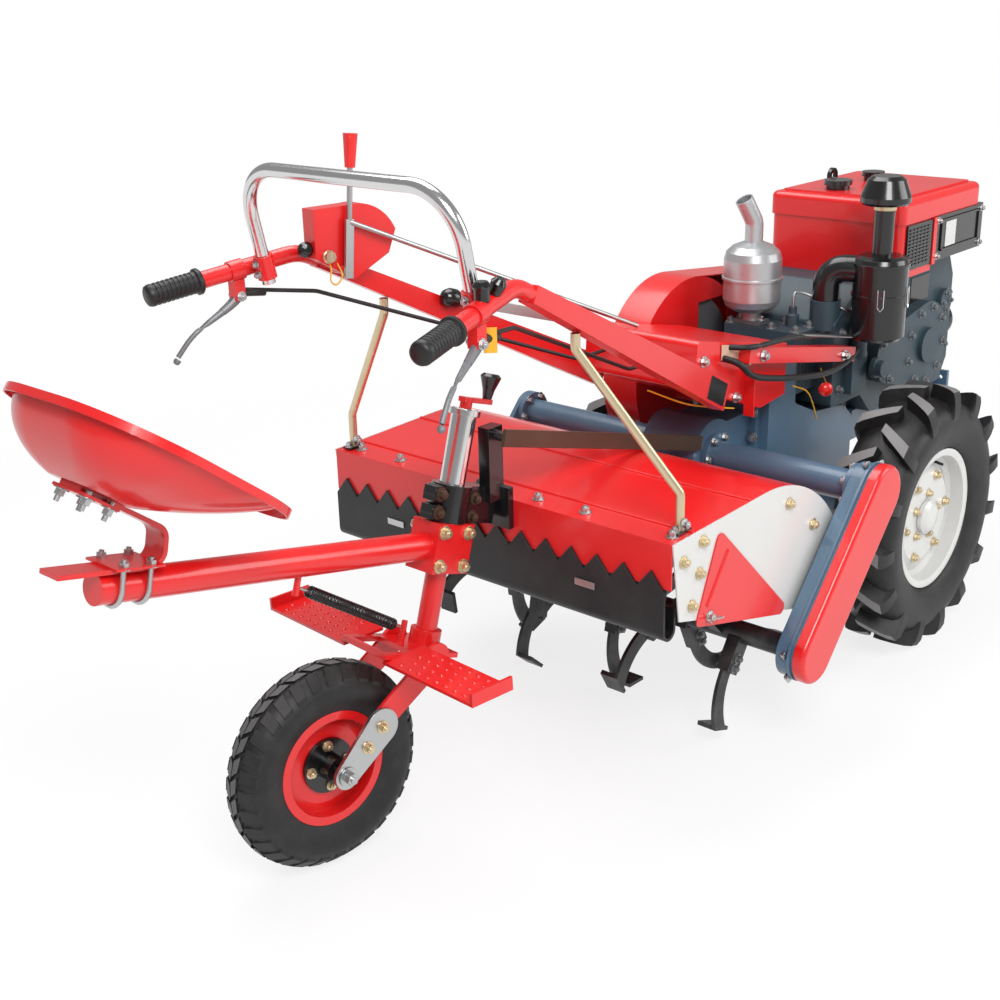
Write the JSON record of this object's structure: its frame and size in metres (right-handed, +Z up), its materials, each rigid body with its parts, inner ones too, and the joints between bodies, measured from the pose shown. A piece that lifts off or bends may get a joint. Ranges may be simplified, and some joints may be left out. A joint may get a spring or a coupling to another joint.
{
  "type": "power tiller",
  "caption": "Walking tractor with a single-cylinder engine, rotary tiller under a hood, steered tail wheel, pan seat and long handles.",
  "frame": {"origin": "on the floor below the middle of the machine's box", "axes": "+X forward towards the engine, +Y to the machine's left, +Z up"},
  "size_m": [2.7366, 1.031, 1.3233],
  "materials": {
    "red_paint": "gloss",
    "blue_paint": "satin",
    "engine_paint": "satin",
    "white_paint": "gloss",
    "black_paint": "satin",
    "cast_grey": "satin",
    "tine_steel": "satin",
    "dark_steel": "satin",
    "zinc": "satin",
    "zinc_yellow": "satin",
    "chrome": "polished",
    "silver_paint": "satin",
    "stem_red": "gloss",
    "tyre": "matte",
    "rubber": "matte",
    "black_plastic": "gloss",
    "red_plastic": "gloss"
  },
  "bodies": {
    "chassis": {"boom": "red_paint", "seat": "red_paint", "seat_spring": "red_paint", "console": "red_paint", "handles": "red_paint", "quadrant": "red_paint", "hood": "red_paint", "corner_guards": "red_paint", "chain_guard": "red_paint", "belt_guard": "red_paint", "fuel_tank": "red_paint", "tank_lid": "red_paint", "jack_crank": "red_paint", "gearbox": "blue_paint", "tiller_gear_case": "blue_paint", "drive_tube": "blue_paint", "support_tube": "blue_paint", "chain_case": "blue_paint", "bearing_arm": "blue_paint", "engine_frame": "blue_paint", "engine_block": "engine_paint", "side_plates": "white_paint", "radiator_shroud": "black_paint", "side_louvres": "black_paint", "air_cleaner": "black_paint", "hitch_bracket": "black_paint", "tail_spring": "black_paint", "tank_caps": "black_paint", "flywheel": "cast_grey", "clutch_pulley": "cast_grey", "top_link": "dark_steel", "hand_levers": "zinc", "gear_lever": "zinc", "stays": "zinc_yellow", "grab_bar": "chrome", "jack_tube": "chrome", "muffler": "silver_paint", "rubber_flap": "rubber", "grips": "rubber", "cables": "rubber", "crank_knob": "black_plastic", "lever_grip": "red_plastic"},
    "wheel_left": {"drive_hub_left": "blue_paint", "drive_rim_left": "white_paint", "drive_tyre_left": "tyre"},
    "wheel_right": {"drive_hub_right": "blue_paint", "drive_rim_right": "white_paint", "drive_tyre_right": "tyre"},
    "rotor": {"rotor": "tine_steel"},
    "jack": {"tail_stem": "stem_red"},
    "fork": {"tail_fork": "red_paint", "axle_plates": "zinc"},
    "tail_wheel": {"tail_hub": "black_paint", "tail_rim": "red_paint", "tail_tyre": "tyre"}
  },
  "joints": [
    {"name": "wheel_left_roll", "type": "hinge", "parent": "chassis", "child": "wheel_left", "pos_m": [0.735, 0.37, 0.322], "axis": [0, 1, 0], "continuous": true},
    {"name": "wheel_right_roll", "type": "hinge", "parent": "chassis", "child": "wheel_right", "pos_m": [0.735, -0.37, 0.322], "axis": [0, 1, 0], "continuous": true},
    {"name": "rotor_turn", "type": "hinge", "parent": "chassis", "child": "rotor", "pos_m": [0.035, 0, 0.25], "axis": [0, 1, 0], "continuous": true},
    {"name": "tail_jack", "type": "slide", "parent": "chassis", "child": "jack", "axis": [0.3007, 0, 0.9537], "range_m": [-0.06, 0.06], "deforming": ["tail_spring"]},
    {"name": "tail_steer", "type": "hinge", "parent": "jack", "child": "fork", "pos_m": [-0.538, 0, 0.555], "axis": [0.3007, 0, 0.9537], "range_deg": [-28, 42], "stiffness_Nm_per_rad": 60, "deforming": ["tail_spring"]},
    {"name": "tail_roll", "type": "hinge", "parent": "fork", "child": "tail_wheel", "pos_m": [-0.85268, 0.02389, 0.2039], "axis": [0.1162, 0.9925, -0.0366], "continuous": true}
  ]
}
